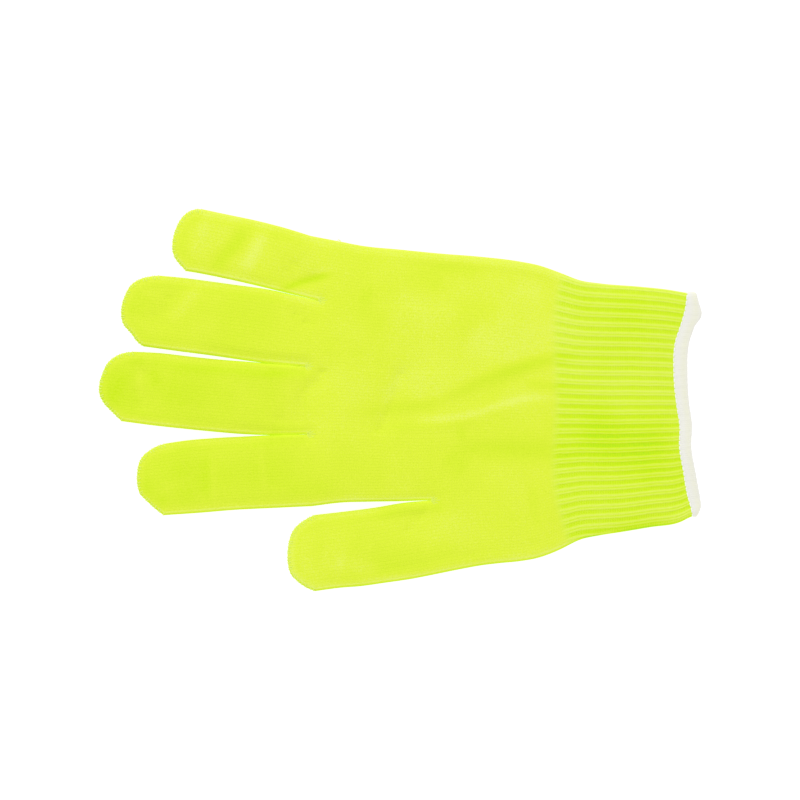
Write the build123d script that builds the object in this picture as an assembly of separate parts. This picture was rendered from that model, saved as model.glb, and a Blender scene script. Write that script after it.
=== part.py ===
from build123d import *
import os
from math import cos, radians, sin, tan

os.makedirs("parts", exist_ok=True)

# A seamless knitted cut resistant work glove lying flat on a table, palm side up.
# +Y runs toward the fingertips, +X toward the little finger side, +Z is up and the table is z = 0.
# All sizes are in millimetres.

# Driving dimensions
THICK = 9.0  # whole glove lying relaxed, both fabric layers and the air between them
WALL = 1.3  # one layer of knitted fabric
EDGE = 4.2  # rounding of the fold where the two layers meet
GAP = 0.6  # clear gap between two segments that bend against each other
REACH = 12.0  # extra length beyond a cut, so that the cut leaves an open tube

KNUCKLE_Y = 38.0  # line across the roots of the four fingers
THUMB_Y = -11.0  # line across the root of the thumb
WRIST_Y = -65.0  # start of the ribbed cuff

HEM_WALL = 1.9  # overlocked band at the cuff mouth, thicker toward the inside
HEM_DEPTH = 5.3  # width of that band along the cuff

ELASTIC_COUNT = 12  # rubber threads laid into the cuff
ELASTIC_SIZE = 0.6
ELASTIC_FIRST_Y = -69.0
ELASTIC_PITCH = 3.6

SEAM_DIAMETER = 1.6  # thread bead that closes a fingertip
SEAM_SINK = 0.3  # how far its centre lies inside the tip's outline
SEAM_START = 96.0  # the arc that it covers, in degrees from the +X side of the tip
SEAM_TURN = 66.0
WEB_WIDTH = 2.4  # closing stitches between two finger roots
WEB_LENGTH = 3.0

# name: root centre x, root y, lean toward +X in degrees, length, width at root and at tip,
# rounding of the +X and of the -X tip corner, places of the bends measured from the root
DIGITS = {
    "pinky": (54.9, KNUCKLE_Y, 13.2, 57.4, 26.0, 25.6, 10.5, 9.5, (22.0, 40.0)),
    "ring": (27.5, KNUCKLE_Y, 8.8, 77.0, 26.2, 28.8, 9.5, 12.0, (30.0, 54.0)),
    "middle": (0.0, KNUCKLE_Y, 4.2, 86.0, 26.8, 28.8, 9.5, 12.5, (33.0, 60.0)),
    "index": (-28.7, KNUCKLE_Y, -3.5, 70.6, 28.4, 28.8, 9.0, 12.5, (28.0, 50.0)),
    "thumb": (-57.4, THUMB_Y, -7.0, 57.2, 29.4, 30.4, 12.5, 13.0, (28.0,)),
}
SEGMENT_NAMES = {3: ("base", "middle", "tip"), 2: ("base", "tip")}

# Sides of the hand as (x, y) from the hem up to the roots of the fingers
PINKY_SIDE = [(44.0, -120.0), (48.0, -82.0), (50.0, -71.0), (56.5, -50.0), (59.5, -20.0), (67.0, 38.0)]
THUMB_SIDE = [(-47.0, -120.0), (-55.0, -82.0), (-58.0, -71.0), (-65.5, -50.0), (-72.0, -11.0)]
INDEX_SIDE = [(-41.4, -11.0), (-41.6, 10.0), (-43.2, 38.0)]
SIDE_ROUND = 14.0
# The knitted part ends in a shallow hollow curve: pinky side, deepest point, thumb side
CUFF_END = [(60.0, -120.4), (6.0, -111.8), (-60.0, -122.3)]

# Where neighbouring roots meet
CROTCHES = {
    "pinky_ring": (41.4, KNUCKLE_Y),
    "ring_middle": (14.0, KNUCKLE_Y),
    "middle_index": (-14.0, KNUCKLE_Y),
    "thumb_index": (-42.2, THUMB_Y),
}


def outline(points, radii):
    """Face inside straight sides whose corners are rounded."""
    return make_face(FilletPolyline(*points, radius=radii, close=True))


def cushion(face, inset):
    """Flat pillow between z = inset and z = THICK - inset, shrunk sideways by the same inset."""
    if inset:
        face = offset(face, -inset, kind=Kind.INTERSECTION)
    block = Pos(0, 0, inset) * extrude(face, THICK - 2 * inset)
    by_height = block.edges().group_by(Axis.Z)
    return fillet(by_height[0] + by_height[-1], EDGE - inset)


def tube(face, wall):
    """Two fabric layers joined around their edge, with the space for the hand between them."""
    return cushion(face, 0) - cushion(face, wall)


def band(low_y, high_y):
    """Everything between two lines across the glove."""
    return Pos(0, (low_y + high_y) / 2, THICK / 2) * Box(400, high_y - low_y, 4 * THICK)


def stretched(points, last_step):
    """Continue a side line past its last point."""
    (x0, y0), (x1, y1) = points[-2:]
    scale = last_step / (y1 - y0)
    return points[:-1] + [(x1 + (x1 - x0) * scale, y1 + last_step)]


def save(shape, name):
    """Write one piece."""
    export_step(shape, f"parts/{name}.step")


# The hand: palm below the thumb, palm below the four fingers, cuff and hem
pinky_side = [(42.7, -132.0)] + PINKY_SIDE[1:-1]
top_pinky = stretched(PINKY_SIDE, REACH)[-1]
thumb_side = [(-44.5, -132.0)] + THUMB_SIDE[1:-1]
top_thumb = stretched(THUMB_SIDE, REACH)[-1]
low_points = pinky_side + [(61.0, THUMB_Y + REACH), top_thumb] + thumb_side[::-1]
low_radii = [0.0] + [SIDE_ROUND] * 4 + [0.0, 0.0] + [SIDE_ROUND] * 3 + [0.0]
low_face = outline(low_points, low_radii)
low_hand = tube(low_face, WALL)

top_index = stretched(INDEX_SIDE, REACH)[-1]
high_points = [(57.9, THUMB_Y - 2 * REACH), (59.5, -20.0), top_pinky, top_index]
high_points += [INDEX_SIDE[1], (-41.2, THUMB_Y - 2 * REACH)]
high_hand = tube(outline(high_points, [0.0, SIDE_ROUND, 0.0, 0.0, SIDE_ROUND, 0.0]), WALL)

webs = {}
for name, (x, y) in CROTCHES.items():
    centre_y = y - GAP / 2 - WEB_LENGTH / 2
    bar = Pos(x, centre_y, THICK / 2) * Box(WEB_WIDTH, WEB_LENGTH, THICK - 2 * WALL)
    webs[name] = bar

upper_palm = high_hand & band(THUMB_Y, KNUCKLE_Y - GAP / 2)
lower_palm = low_hand & band(WRIST_Y + GAP / 2, THUMB_Y)
thumb_root = Pos(-57.4, THUMB_Y, THICK / 2) * Box(32.0, GAP, 4 * THICK)
lower_palm -= thumb_root
for web in webs.values():
    upper_palm -= web
    lower_palm -= web
save(upper_palm, "palm_four_finger_section")
save(lower_palm, "palm_thumb_section")
for name, web in webs.items():
    save(web, f"crotch_stitches_{name}")

# Cuff and hem share one tube, divided by the curved end of the knitting
far = -150.0


def beyond(shift):
    """Everything past the curved end of the knitting, moved outward by shift."""
    ends = [(x, y - shift) for x, y in CUFF_END]
    curve = ThreePointArc(*ends)
    sides = Polyline(ends[-1], (ends[-1][0], far), (ends[0][0], far), ends[0])
    return Pos(0, 0, -THICK) * extrude(make_face([curve, sides]), 4 * THICK)


cuff = (low_hand & band(far, WRIST_Y - GAP / 2)) - beyond(0)
hem = (tube(low_face, HEM_WALL) & beyond(0)) - beyond(HEM_DEPTH)
save(cuff, "cuff_rib_knit")
save(hem, "cuff_overlock_hem")

# Rubber threads lie against the inside of the ribs, one closed loop each
lining = cushion(low_face, WALL) - cushion(low_face, WALL + ELASTIC_SIZE)
loops = []
for i in range(ELASTIC_COUNT):
    y = ELASTIC_FIRST_Y - i * ELASTIC_PITCH
    loop = lining & band(y - ELASTIC_SIZE / 2, y + ELASTIC_SIZE / 2)
    loops += loop.solids()
save(Compound(children=loops), "cuff_elastic_threads")

# The five stalls
for name, (x, y, lean, length, root, tip, round_high, round_low, bends) in DIGITS.items():
    along = (sin(radians(lean)), cos(radians(lean)))
    stall_plane = Plane((x, y, 0), x_dir=(along[1], -along[0], 0), z_dir=(0, 0, 1))
    grow = (root - tip) / 2 * 2 * REACH / length
    corners = [
        (root / 2 + grow, -2 * REACH),
        (tip / 2, length),
        (-tip / 2, length),
        (-root / 2 - grow, -2 * REACH),
    ]
    stall = tube(outline(corners, [0.0, round_high, round_low, 0.0]), WALL)
    stall = stall_plane * stall
    stall &= band(y + GAP / 2, 200.0)

    # Thread bead wrapped round the slanted corner of the tip, where the knitting is closed
    hub = (-tip / 2 + round_low, length - round_low, THICK / 2)
    curve = CenterArc(hub, round_low - SEAM_SINK, SEAM_START, SEAM_TURN)
    bead = sweep((curve ^ 0) * Circle(SEAM_DIAMETER / 2), path=curve)
    bead = stall_plane * bead
    stall -= bead

    cuts = (-3 * REACH,) + bends + (length + REACH,)
    for i, segment in enumerate(SEGMENT_NAMES[len(bends) + 1]):
        low = cuts[i] + GAP / 2
        high = cuts[i + 1] - GAP / 2
        slab = Pos(0, (low + high) / 2, THICK / 2) * Box(80, high - low, 4 * THICK)
        save(stall & (stall_plane * slab), f"{name}_{segment}")
    save(bead, f"{name}_closing_seam")
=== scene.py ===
import math

import bpy
import numpy as np
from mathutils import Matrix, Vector
from mathutils.kdtree import KDTree


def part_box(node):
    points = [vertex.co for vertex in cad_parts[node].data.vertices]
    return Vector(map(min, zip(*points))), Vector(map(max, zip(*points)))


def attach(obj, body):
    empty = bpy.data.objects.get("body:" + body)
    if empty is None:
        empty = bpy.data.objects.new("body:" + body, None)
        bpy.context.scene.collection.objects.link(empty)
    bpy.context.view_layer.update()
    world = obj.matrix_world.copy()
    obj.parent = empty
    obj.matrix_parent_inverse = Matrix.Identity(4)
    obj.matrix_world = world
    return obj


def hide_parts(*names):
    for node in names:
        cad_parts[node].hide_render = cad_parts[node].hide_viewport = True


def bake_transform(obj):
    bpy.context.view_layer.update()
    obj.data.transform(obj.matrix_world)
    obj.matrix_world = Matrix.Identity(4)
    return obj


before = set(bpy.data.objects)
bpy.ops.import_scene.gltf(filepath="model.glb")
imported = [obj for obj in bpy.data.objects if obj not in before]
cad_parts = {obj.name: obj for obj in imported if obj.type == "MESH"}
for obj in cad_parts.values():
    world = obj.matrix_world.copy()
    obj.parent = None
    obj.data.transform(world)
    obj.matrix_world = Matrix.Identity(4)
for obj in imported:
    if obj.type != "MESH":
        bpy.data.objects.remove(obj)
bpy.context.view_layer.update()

# A knitted cut resistant glove lying flat, palm side up. Lengths below are in millimetres,
# x toward the little finger side, y toward the fingertips; meshes are written in metres.
MM = 0.001


def add_object(name, data):
    """Puts a mesh, a light or a camera into the scene."""
    obj = bpy.data.objects.new(name, data)
    bpy.context.scene.collection.objects.link(obj)
    return obj


# ---------------------------------------------------------------- camera
SPAN = 328.0  # width of the picture at the glove
CAMERA_HEIGHT = 2600.0
PALM_HEIGHT = 5.0  # of the face that SPAN is measured at
FILM = 36.0
camera_data = bpy.data.cameras.new("camera")
camera_data.sensor_width = FILM
camera_data.lens = FILM * (CAMERA_HEIGHT - PALM_HEIGHT) / SPAN
camera_data.clip_start = 0.05
camera_data.clip_end = 20.0
camera_data.dof.use_dof = False
camera = add_object("camera", camera_data)
camera.location = (0.15 * MM, 0.56 * MM, CAMERA_HEIGHT * MM)
camera.rotation_euler = (0.0, 0.0, math.radians(-90.0))
bpy.context.scene.camera = camera

# ---------------------------------------------------------------- the glove's outline
WRIST_ROW = -58.0  # the cuff piece starts here, above the bend at the wrist
THUMB_ROW = -11.9
COLUMNS = {"pinky": 68, "ring": 74, "middle": 74, "index": 76, "thumb": 80}
TOTAL = sum(COLUMNS.values())
WALES = 104  # columns of stitches across one face of the hand
HAND_WIDTH = 133.0
WALE = HAND_WIDTH / WALES
COURSE = 0.98  # height of one stitch
FABRIC = 1.2  # thickness of the knitting
FOLD = 2.0  # width of the fold where the two layers meet
MIDDLE = 2.3  # height of the fold above the table

PINKY_SIDE = [
    (-123, 43.6), (-117, 44.2), (-110, 45.4), (-98, 46.7), (-82, 48), (-73.4, 49.3),
    (-65.2, 52.4), (-57, 55.3), (-48.8, 57), (-32.4, 59), (-16, 60.3), (0.4, 61.9),
    (16.8, 63.6), (25, 65.2), (37, 67.5),
]
THUMB_SIDE = [
    (-123, -47), (-119.3, -47.7), (-114.4, -50), (-102, -52.1), (-90, -54.1), (-81.6, -55.4),
    (-73.4, -57.2), (-65.2, -61.2), (-61, -63), (-57, -64.4), (-48.8, -66), (-40.6, -66.8),
    (-32.4, -67.8), (-24.2, -69.3), (-11.9, -71.8),
]
INDEX_SIDE = [(-11.9, -41), (0, -41.4), (12, -41.6), (25, -42), (37.1, -43.5)]

# For each stall: root x and y, lean in degrees, where the straight rows start and stop along it,
# its two sides as (along, across) and its tip as (across, along), all measured from the root.
STALLS = {
    "pinky": dict(
        root=(54.9, 38), lean=13.2, rows=(9, 43),
        high=[(2, 12.5), (14, 13.3), (26, 13.5), (38, 13.2), (47.5, 13)],
        low=[(-6.7, -12.7), (8, -12.6), (20, -12.5), (32, -12.6), (44, -13), (48.6, -13.3)],
        tip=[(13, 47.5), (12.3, 50.6), (10.3, 53.5), (7.2, 55.5), (2.5, 56.7), (-2.5, 56.8), (-6.5, 55.9),
             (-9.3, 54.1), (-11.5, 51.3), (-13.3, 48.6)],
        bends=((17, 27), (35, 45)), splits=(14, 31)),
    "ring": dict(
        root=(27.5, 38), lean=8.8, rows=(10, 58),
        high=[(-1.5, 13.9), (8, 14.6), (20, 15.3), (32, 15.1), (44, 14.9), (56, 14.6),
              (64, 14.1)],
        low=[(-0.3, -13.7), (12, -14.7), (26, -15), (38, -15.1), (50, -15.4), (66.2, -15.7)],
        tip=[(14.1, 64), (13.1, 68), (11.2, 72.2), (8.5, 75.1), (4, 76.9), (-1, 77.6), (-4.5, 77.2),
             (-7.6, 76), (-11.2, 72), (-14.6, 68.4), (-15.7, 66.2)],
        bends=((24, 36), (48, 60)), splits=(19, 42)),
    "middle": dict(
        root=(0, 38), lean=4.2, rows=(12, 67),
        high=[(2.8, 13.7), (14, 13.9), (26, 14), (38, 14.05), (50, 14.4), (62, 14.9),
              (73, 14.7)],
        low=[(0, -13.9), (12, -15.2), (26, -15.8), (38, -15.7), (50, -15.4), (62, -15),
             (75.9, -14.2)],
        tip=[(14.7, 73), (13.5, 78), (11.7, 81.1), (9.2, 83.5), (5, 85.2), (0.5, 86.2), (-3.3, 86),
             (-6.8, 84.2), (-10.8, 80), (-14.2, 75.9)],
        bends=((27, 39), (54, 66)), splits=(21, 46)),
    "index": dict(
        root=(-28.7, 38), lean=-3.5, rows=(10, 54),
        high=[(0.1, 14.8), (12, 15.3), (26, 15.5), (38, 15.6), (50, 15.3), (58, 14.6)],
        low=[(0, -14.8), (14, -14.6), (32, -14.4), (46, -14.7), (60.6, -14.8)],
        tip=[(14.6, 58), (13.6, 61.8), (12.1, 64.8), (10.2, 67.4), (7.6, 69.2), (3, 70.4), (-1.5, 70.6),
             (-5.5, 69.7), (-8, 67.6), (-11.5, 64.3), (-14.8, 60.6)],
        bends=((22, 34), (44, 56)), splits=(18, 39)),
    "thumb": dict(
        root=(-57.4, -11), lean=-7, rows=(9, 41),
        high=[(-2.9, 16.2), (8, 16.5), (20, 16), (32, 15.9), (45, 16)],
        low=[(0.86, -14.4), (8, -14.9), (20, -15.2), (30, -15.35), (38, -15), (48.6, -15.1)],
        tip=[(16, 45), (14.9, 48.2), (13, 51.9), (11, 54.3), (7.6, 56.3), (3, 57.7), (-2, 58.3),
             (-7, 57.6), (-10.2, 55.3), (-13.3, 51.8), (-15.1, 48.6)],
        bends=((22, 34),), splits=(18,)),
}
SEGMENTS = {3: ("base", "middle", "tip"), 2: ("base", "tip")}
ROOT_BEND = (2.9, 13.9)  # along the stall, past its slanting first row and before its second piece

# Ends of the knitting at the cuff's mouth as (x, y)
MOUTH_TOP = [
    (-48, -119.6), (-46.6, -119.3), (-37.7, -116.9), (-29.1, -115.5), (-19.7, -113.9), (-9.4, -113.9),
    (-3.3, -112.9), (11.1, -111.5), (24.2, -112.2), (31.7, -114.6), (38, -116.3), (44.5, -117.2),
]
MOUTH_UNDER = [
    (-48, -119.6), (-46.6, -119.3), (-37.7, -116.4), (-29.1, -114.6), (-19.7, -113), (-3.3, -111.8),
    (11.1, -110.8), (24.2, -112), (31.7, -116.2), (36, -118.4), (40, -118.4), (44.5, -117.2),
]


def hermite(points, at):
    """Smooth curve through (x, y) points with rising x, evaluated at the given x values."""
    x, y = np.array(points, float).T
    at = np.asarray(at, float)
    step = np.diff(y) / np.diff(x)
    slope = np.empty_like(y)
    slope[0], slope[-1] = step[0], step[-1]
    left, right = np.diff(x)[:-1], np.diff(x)[1:]
    slope[1:-1] = (step[:-1] * right + step[1:] * left) / (left + right)
    i = np.clip(np.searchsorted(x, at) - 1, 0, len(x) - 2)
    h = x[i + 1] - x[i]
    t = (at - x[i]) / h
    inside = (
        (2 * t**3 - 3 * t**2 + 1) * y[i] + (t**3 - 2 * t**2 + t) * h * slope[i]
        + (-2 * t**3 + 3 * t**2) * y[i + 1] + (t**3 - t**2) * h * slope[i + 1]
    )
    below = y[0] + slope[0] * (at - x[0])
    above = y[-1] + slope[-1] * (at - x[-1])
    return np.where(at < x[0], below, np.where(at > x[-1], above, inside))


def run_along(points):
    """Distance of each point from the first one, along the line through them."""
    return np.concatenate([[0], np.cumsum(np.linalg.norm(np.diff(points, axis=0), axis=1))])


def through(points, count):
    """Smooth open curve through 2-D points, as count samples evenly spread along it."""
    points = np.array(points, float)
    run = run_along(points)
    at = np.linspace(0, run[-1], count)
    return np.stack([hermite(list(zip(run, points[:, i])), at) for i in range(2)], axis=1)


def smoothstep(x, low, high):
    """0 before low, 1 after high."""
    t = np.clip((np.asarray(x, float) - low) / (high - low), 0, 1)
    return t * t * (3 - 2 * t)


def bell(x, centre, width):
    """1 at the centre, falling off smoothly on both sides."""
    return np.exp(-(((x - centre) / width) ** 2))


def unit(vectors):
    """The same directions with length 1."""
    return vectors / np.linalg.norm(vectors, axis=-1, keepdims=True)


def crowded(n, width):
    """n + 1 positions from 0 to 1, closer together near both ends, where the fabric folds."""
    s = np.linspace(0, width, n + 1)
    near, far = s**2 / (s + 1.2), (width - s) ** 2 / (width - s + 1.2)
    return near / (near + far)


# ---------------------------------------------------------------- the fabric as one grid
class Net:
    """Points and quads of the glove's outside, shared by all its pieces."""

    def __init__(self):
        self.xy, self.uv, self.side = [], [], []
        self.quads, self.label = [], []

    def add(self, xy, uv, side):
        """Adds points and returns their numbers. side: 1 top layer, -1 under layer, 0 on the fold."""
        first = len(self.xy)
        self.xy += list(xy)
        self.uv += list(uv)
        self.side += list(side)
        return np.arange(first, len(self.xy))

    def sheet(self, rows, label, flip):
        """Quads between successive rows of point numbers."""
        for a, b in zip(rows[:-1], rows[1:]):
            for i in range(len(a) - 1):
                corners = (a[i], a[i + 1], b[i + 1], b[i])
                self.quads.append(corners[::-1] if flip else corners)
                self.label.append(label)


net = Net()
names = list(STALLS)
start = dict(zip(names, np.concatenate([[0], np.cumsum(list(COLUMNS.values()))[:-1]])))


def on_stall(name, along, across):
    """(x, y) of places measured along and across a stall from its root."""
    lean = math.radians(STALLS[name]["lean"])
    ahead = np.array([math.sin(lean), math.cos(lean)])
    aside = np.array([math.cos(lean), -math.sin(lean)])
    return np.array(STALLS[name]["root"]) + np.outer(along, ahead) + np.outer(across, aside)


STALL_WIDTH, FOUR_WIDTH, WHOLE_WIDTH = 29.0, 104.0, 110.0  # roughly, of the parts lying flat
ROOT_ROWS, TIP_ROWS = 10, 26


def stall_points(name):
    """Rows of (x, y) along one stall from its root to the end of its tip, and each row's distance."""
    s = STALLS[name]
    n = COLUMNS[name]
    u = crowded(n, STALL_WIDTH)

    def lateral(a):
        high, low = hermite(s["high"], a), hermite(s["low"], a)
        return high + (low - high) * u

    # The first row slants between the roots of the two sides, the last one follows the tip
    a0 = s["high"][0][0] + (s["low"][0][0] - s["high"][0][0]) * u
    tip = through(s["tip"], 400)
    tip = tip[np.argsort(tip[:, 0])]
    a_end = np.full(n + 1, s["tip"][5][1])
    for _ in range(6):
        a_end = np.interp(lateral(a_end), tip[:, 0], tip[:, 1])
    first, last = s["rows"]
    rows = [a0 + (first - a0) * t for t in np.linspace(0, 1, ROOT_ROWS + 1)]
    straight = int(round(last - first))
    rows += [np.full(n + 1, a) for a in np.linspace(first, last, straight + 1)[1:]]
    # The rows crowd together toward the end of the tip
    t = np.linspace(0, 1, TIP_ROWS + 1)[1:]
    t = t + 0.5 * np.sin(np.pi * t) / np.pi * (1 - t) + 0.25 * t * (1 - t)
    rows += [last + (a_end - last) * k for k in t / t[-1]]
    return [(on_stall(name, a, lateral(a)), a) for a in rows], u, a0


stall_rows = {name: stall_points(name) for name in names}

# The row of roots, from the little finger's outer side to the index finger's outer side
crotch_row = np.concatenate(
    [stall_rows[n][0][0][0][: -1 if n != "index" else None] for n in names[:4]])
four = len(crotch_row) - 1  # columns of the four-finger section

outer_fraction = crowded(TOTAL, WHOLE_WIDTH)  # of the way across the hand, for each column
# At the thumb's root the fifth strip belongs to the thumb
thumb_root = stall_rows["thumb"][0][0][0]
right_x = hermite(PINKY_SIDE, [THUMB_ROW])[0]
left_x = thumb_root[0, 0]
four_fraction = crowded(four, FOUR_WIDTH)
four_row = np.stack([right_x + (left_x - right_x) * four_fraction, np.full(four + 1, THUMB_ROW)], axis=1)
root_row = np.concatenate([four_row[:-1], thumb_root])

UPPER_ROWS, LOWER_ROWS, CUFF_ROWS = 50, 46, 64
SPREAD = (0.15, 1.0)  # part of the lower palm over which the columns spread out to meet the thumb


def across_hand(fraction, y, thumb_side):
    """Row of (x, y) at fractions of the way from the little finger's side to the other side."""
    right, left = hermite(PINKY_SIDE, y), hermite(thumb_side, y)
    return np.stack([right + (left - right) * fraction, y], axis=1)


def upper_row(t):
    """Row between the thumb's root (t 0) and the fingers' roots (t 1)."""
    y = THUMB_ROW + (crotch_row[:, 1] - THUMB_ROW) * t
    low = (root_row[: four + 1, 0] - right_x) / (left_x - right_x)
    right, left = (hermite(edge, crotch_row[:, 1]) for edge in (PINKY_SIDE, INDEX_SIDE))
    high = (crotch_row[:, 0] - right) / (left - right)
    high[0], high[-1] = 0, 1
    return across_hand(low + (high - low) * (smoothstep(t, 0, 1) + t) / 2, y, INDEX_SIDE)


def lower_row(t):
    """Row between the cuff (t 0) and the thumb's root (t 1)."""
    y = WRIST_ROW + (root_row[:, 1] - WRIST_ROW) * t
    high = (root_row[:, 0] - right_x) / (root_row[-1, 0] - right_x)
    fraction = outer_fraction + (high - outer_fraction) * smoothstep(t, *SPREAD)
    return across_hand(fraction, y, THUMB_SIDE)


TUCK = 0.9  # how far the knitting runs on inside the hem


def cuff_row(t, mouth):
    """Row between the start of the cuff (t 0) and the knitting's end inside the hem (t 1)."""
    y = np.full(TOTAL + 1, WRIST_ROW)
    for _ in range(4):
        x = across_hand(outer_fraction, y, THUMB_SIDE)[:, 0]
        y = WRIST_ROW + (hermite(mouth, x) - TUCK - WRIST_ROW) * t
    return across_hand(outer_fraction, y, THUMB_SIDE)


COLUMN_U = outer_fraction * HAND_WIDTH


def strip_u(name, u):
    """Knit coordinate across a stall, continuing the columns of stitches of the palm."""
    a, b = start[name], start[name] + COLUMNS[name]
    return COLUMN_U[a] + (COLUMN_U[b] - COLUMN_U[a]) * u


palm_u = np.concatenate([strip_u(n, stall_rows[n][1])[: -1 if n != "thumb" else None] for n in names])


def add_layers(rows, u_of_row, v_of_row, under_rows=None):
    """Adds a block of rows twice, as top and under layer, joined along its outer columns."""
    top, under = [], []
    for row, low, u, v in zip(rows, under_rows or rows, u_of_row, v_of_row):
        uv = np.stack([u, v], axis=1)
        side = np.ones(len(row))
        side[[0, -1]] = 0
        a = net.add(row, uv, side)
        b = a.copy()
        b[1:-1] = net.add(low[1:-1], uv[1:-1], -side[1:-1])
        top.append(a)
        under.append(b)
    return top, under


def heights_along(rows):
    """The y of every point, row by row."""
    return [row[:, 1] for row in rows]


# Palm above the thumb
rows = [upper_row(t) for t in np.arange(UPPER_ROWS + 1) / UPPER_ROWS]
upper_top, upper_under = add_layers(rows, [palm_u[: four + 1]] * len(rows), heights_along(rows))
# The two layers meet at the roots between neighbouring fingers
for name in ("ring", "middle", "index"):
    meeting = upper_top[-1][start[name]]
    upper_under[-1][start[name]] = meeting
    net.side[meeting] = 0

# Palm below the thumb; its last row continues into the palm above and into the thumb
steps = np.arange(LOWER_ROWS + 1) / LOWER_ROWS
rows = [lower_row(t) for t in steps]
us = [COLUMN_U + (palm_u - COLUMN_U) * smoothstep(t, *SPREAD) for t in steps]
lower_top, lower_under = add_layers(rows, us, heights_along(rows))
lower_top[-1][: four + 1] = upper_top[0]
lower_under[-1][: four + 1] = upper_under[0]
crotch = upper_top[0][four]
lower_under[-1][four] = crotch
net.side[crotch] = 0

# Cuff
steps = np.arange(CUFF_ROWS + 1) / CUFF_ROWS
rows = [cuff_row(t, MOUTH_TOP) for t in steps]
unders = [cuff_row(t, MOUTH_UNDER) for t in steps]
cuff_top, cuff_under = add_layers(rows, [COLUMN_U] * len(rows), heights_along(rows), unders)
cuff_top[0][:] = lower_top[0]
cuff_under[0][:] = lower_under[0]

net.sheet(upper_top, "palm", True)
net.sheet(upper_under, "palm", False)
net.sheet(lower_top, "palm", True)
net.sheet(lower_under, "palm", False)
net.sheet(cuff_top, "cuff", False)
net.sheet(cuff_under, "cuff", True)

# Stalls
for name in names:
    stall, u, a0 = stall_rows[name]
    columns = slice(start[name], start[name] + COLUMNS[name] + 1)
    palm_top, palm_under = (lower_top, lower_under) if name == "thumb" else (upper_top, upper_under)
    root_y = stall[0][0][:, 1]
    vs = [root_y + (a - a0) for _, a in stall]
    top, under = add_layers([row for row, _ in stall], [strip_u(name, u)] * len(stall), vs)
    top[0], under[0] = palm_top[-1][columns].copy(), palm_under[-1][columns].copy()
    under[-1] = top[-1].copy()
    for k in top[-1]:
        net.side[k] = 0
    # Straight rows are where one segment's piece ends and the next begins
    middles = np.array([a[len(a) // 2] for _, a in stall])
    limits = [0] + [int(np.argmin(abs(middles - c))) for c in STALLS[name]["splits"]] + [len(top) - 1]
    for segment, i, j in zip(SEGMENTS[len(limits) - 1], limits[:-1], limits[1:]):
        net.sheet(top[i: j + 1], f"{name}_{segment}", True)
        net.sheet(under[i: j + 1], f"{name}_{segment}", False)

xy = np.array(net.xy)
uv = np.array(net.uv)
side = np.array(net.side)

# ---------------------------------------------------------------- heights
# Distance from the folds all round the glove, its mouth left out
outline = []
for name in names:
    s = STALLS[name]
    for key in ("high", "low"):
        a = np.linspace(s[key][0][0], s[key][-1][0], 500)
        outline.append(on_stall(name, a, hermite(s[key], a)))
    tip = through(s["tip"], 500)
    outline.append(on_stall(name, tip[:, 1], tip[:, 0]))
PAST_MOUTH = -135.0
sides = ((PINKY_SIDE, PAST_MOUTH, 37), (THUMB_SIDE, PAST_MOUTH, THUMB_ROW), (INDEX_SIDE, THUMB_ROW, 37.1))
for points, low, high in sides:
    y = np.linspace(low, high, 1600)
    outline.append(np.stack([hermite(points, y), y], axis=1))
outline = np.concatenate(outline)
folds = KDTree(len(outline))
for i, (x, y) in enumerate(outline):
    folds.insert((x, y, 0), i)
folds.balance()


def fold_distance(points):
    """Distance of each (x, y) from the nearest fold."""
    return np.array([folds.find((x, y, 0))[2] for x, y in points])


def along_line(points, line, width):
    """1 on a line through the given points, falling off sideways and toward its ends."""
    line = np.array(line, float)
    best = np.full(len(points), 1e9)
    run = np.zeros(len(points))
    done = 0.0
    for a, b in zip(line[:-1], line[1:]):
        step = b - a
        length = np.linalg.norm(step)
        t = np.clip(((points - a) @ step) / length**2, 0, 1)
        gap = np.linalg.norm(points - a - t[:, None] * step, axis=1)
        near = gap < best
        best = np.where(near, gap, best)
        run = np.where(near, done + t * length, run)
        done += length
    ends = smoothstep(run, -0.12 * done, 0.25 * done) * (1 - smoothstep(run, 0.75 * done, 1.12 * done))
    return bell(best, 0, width) * ends


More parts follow.
